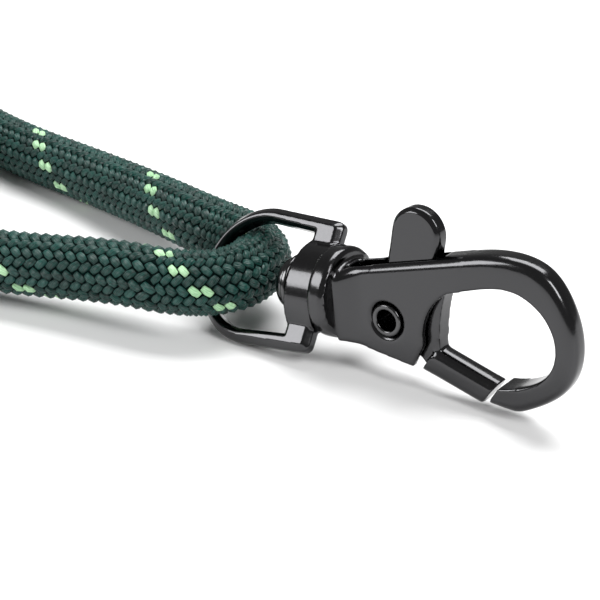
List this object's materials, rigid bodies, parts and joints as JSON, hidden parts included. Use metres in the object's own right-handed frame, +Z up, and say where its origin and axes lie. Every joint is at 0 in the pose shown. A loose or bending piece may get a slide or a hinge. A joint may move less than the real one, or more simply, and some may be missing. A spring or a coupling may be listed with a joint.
{
  "type": "lanyard with swivel snap hook",
  "caption": "Neck lanyard: a loop of round braided cord folded through the ring of a swivelling snap hook with a sprung, thumb-operated gate.",
  "frame": {"origin": "middle of the footprint of the hook and ring, on the surface they lie on; the cord is left out of that box", "axes": "+X from the ring towards the hook's nose, +Z up with the hook standing on edge, +Y to the side the gate rivet's hidden end faces"},
  "size_m": [0.2098, 0.106, 0.0219],
  "materials": {
    "black_nickel": "polished black nickel plate",
    "rivet_nickel": "polished black nickel plate",
    "spring_steel": "drawn wire",
    "green_cord": "braided filament yarn, dark green with mint flecks",
    "core_yarn": "twisted undyed yarn",
    "sleeve": "shrink tube"
  },
  "bodies": {
    "rope": {"rope_sheath": "green_cord", "rope_core": "core_yarn", "rope_coil": "green_cord", "joining_sleeve": "sleeve"},
    "ring": {"swivel_ring": "black_nickel"},
    "hook": {"hook_body": "black_nickel", "swivel_rivet": "rivet_nickel", "swivel_washer": "rivet_nickel", "gate_pivot_rivet": "rivet_nickel", "gate_spring": "spring_steel"},
    "gate": {"gate_lever": "black_nickel"}
  },
  "joints": [
    {"name": "ring_swing", "type": "hinge", "parent": "rope", "child": "ring", "pos_m": [-0.0195, 0, 0.0068], "axis": [0, -1, 0], "range_deg": [-15, 15]},
    {"name": "hook_swivel", "type": "hinge", "parent": "ring", "child": "hook", "pos_m": [-0.00905, 0, 0.00825], "axis": [0.9936, 0, 0.1132], "continuous": true},
    {"name": "gate_open", "type": "hinge", "parent": "hook", "child": "gate", "pos_m": [0.00216, 0, 0.00792], "axis": [0, -1, 0], "range_deg": [0, 28], "stiffness_Nm_per_rad": 0.06, "springref_deg": -28.65}
  ]
}
